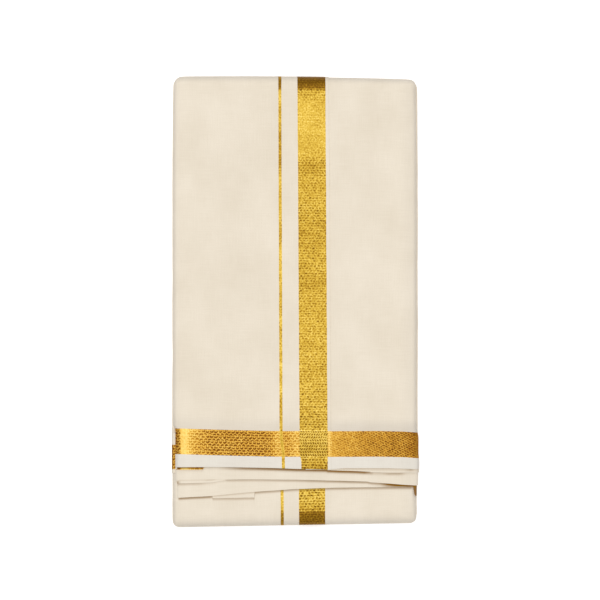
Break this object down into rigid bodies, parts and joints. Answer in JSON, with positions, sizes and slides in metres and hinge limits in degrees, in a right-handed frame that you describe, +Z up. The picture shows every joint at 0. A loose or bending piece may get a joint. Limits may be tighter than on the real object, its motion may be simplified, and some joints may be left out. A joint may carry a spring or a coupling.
{
  "type": "folded dhoti cloth",
  "caption": "Cream cotton dhoti folded to a flat oblong packet, with a gold border band and thin gold line along it and a gold end band across its free end.",
  "frame": {"origin": "middle of the packet's box, on the surface it rests on", "axes": "+Z up from the surface, +Y along the packet towards its top fold, +X across it towards the right as seen from above with the top fold away from the viewer"},
  "size_m": [0.2274, 0.4122, 0.021],
  "materials": {
    "cream_cotton": "matt plain weave, unbleached",
    "hem_cotton": "matt plain weave, a little whiter",
    "border_zari": "metal-wrapped yarn, satin gold",
    "end_band_zari": "metal-wrapped yarn over brown, satin"
  },
  "bodies": {
    "root": {"inner_folds": "cream_cotton", "front_field": "cream_cotton", "front_gap": "cream_cotton", "front_selvedge": "cream_cotton", "under_field": "cream_cotton", "end_ply_second": "cream_cotton", "end_ply_third": "cream_cotton", "end_corner": "cream_cotton", "lower_left": "cream_cotton", "lower_gap": "cream_cotton", "lower_right": "cream_cotton", "back_left": "cream_cotton", "back_gap": "cream_cotton", "back_right": "cream_cotton", "hem_left": "hem_cotton", "hem_gap": "hem_cotton", "hem_right": "hem_cotton", "front_line": "border_zari", "front_border": "border_zari", "lower_line": "border_zari", "lower_border": "border_zari", "back_line": "border_zari", "back_border": "border_zari", "end_band_left": "end_band_zari", "end_band_gap": "end_band_zari", "end_band_right": "end_band_zari", "end_band_under": "end_band_zari"}
  },
  "joints": []
}
